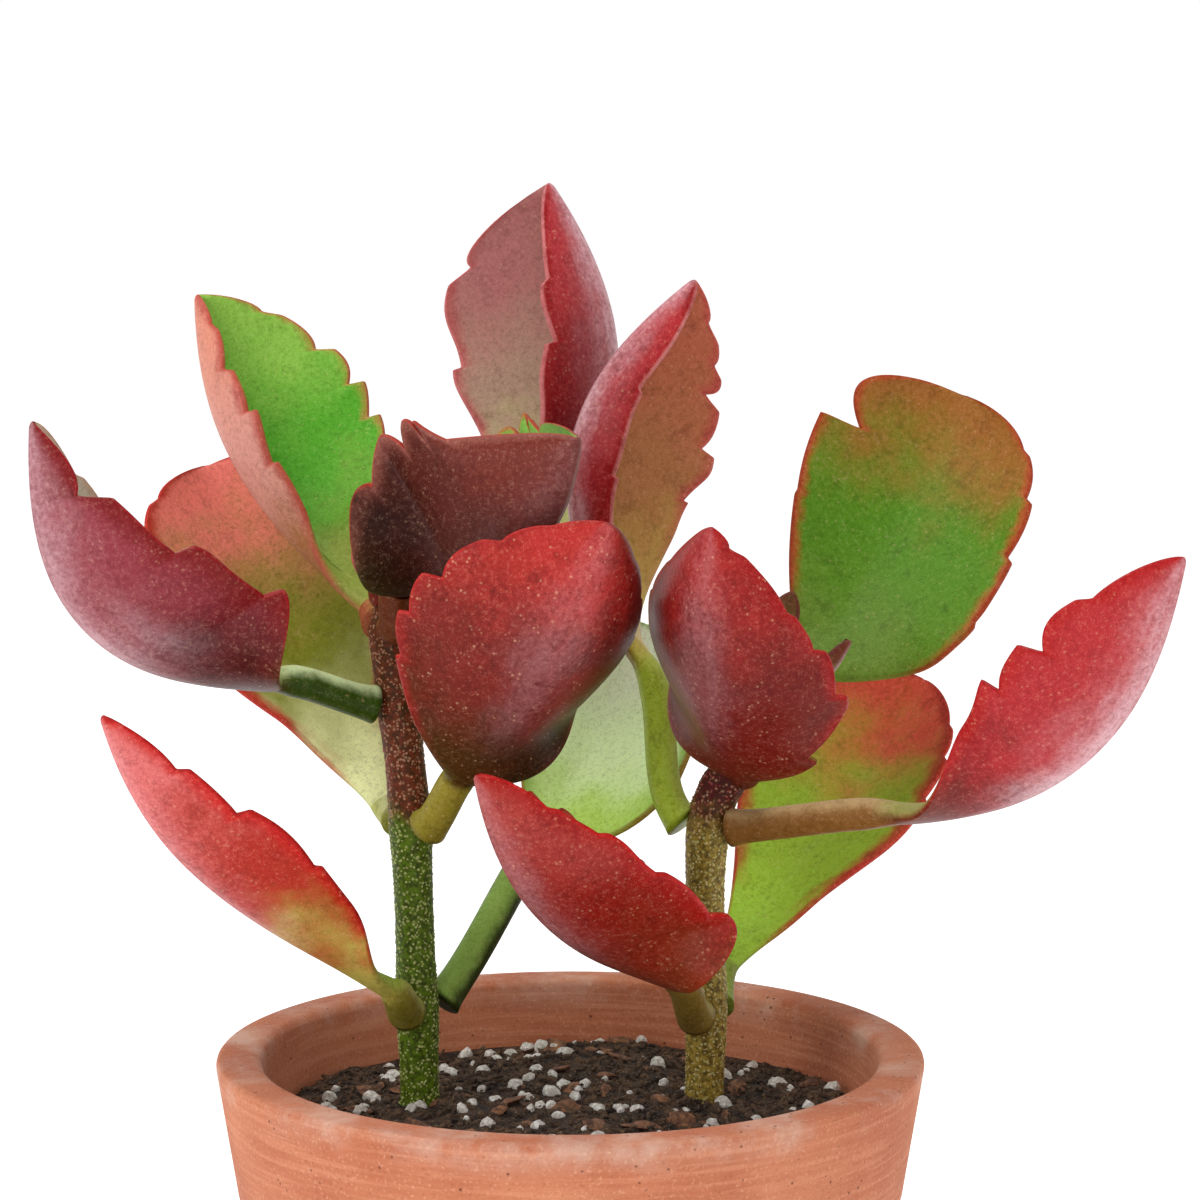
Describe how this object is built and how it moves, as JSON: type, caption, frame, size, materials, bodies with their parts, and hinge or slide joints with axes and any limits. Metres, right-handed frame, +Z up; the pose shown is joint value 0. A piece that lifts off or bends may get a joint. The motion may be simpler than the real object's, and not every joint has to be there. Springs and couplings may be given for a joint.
{
  "type": "potted kalanchoe",
  "caption": "Succulent kalanchoe with red-backed toothed leaves in opposite pairs on upright stems, rooted in potting mix in a tapered clay pot with a banded mouth.",
  "frame": {"origin": "centre of the pot's foot, on the surface that it stands on", "axes": "+Z up along the pot's axis; +X to the right and +Y away from a person who looks at the plant's front, with the stem of the widest-reaching leaf on their right"},
  "size_m": [0.1654, 0.108, 0.2194],
  "materials": {
    "clay": "matte",
    "potting_mix": "matte",
    "stem": "satin",
    "leaf": "satin"
  },
  "bodies": {
    "root": {"pot": "clay", "potting_mix": "potting_mix", "stem_left": "stem", "stem_right": "stem", "leaf_left_1_front": "leaf", "leaf_left_1_back": "leaf", "leaf_left_2_front": "leaf", "leaf_left_2_back": "leaf", "leaf_left_3_front": "leaf", "leaf_left_3_back": "leaf", "leaf_left_4_front": "leaf", "leaf_left_4_back": "leaf", "leaf_right_1_front": "leaf", "leaf_right_1_back": "leaf", "leaf_right_2_front": "leaf", "leaf_right_2_back": "leaf", "leaf_right_3_front": "leaf", "leaf_right_3_back": "leaf", "bud_left_front": "leaf", "bud_left_back": "leaf", "bud_right_front": "leaf", "bud_right_back": "leaf"}
  },
  "joints": []
}
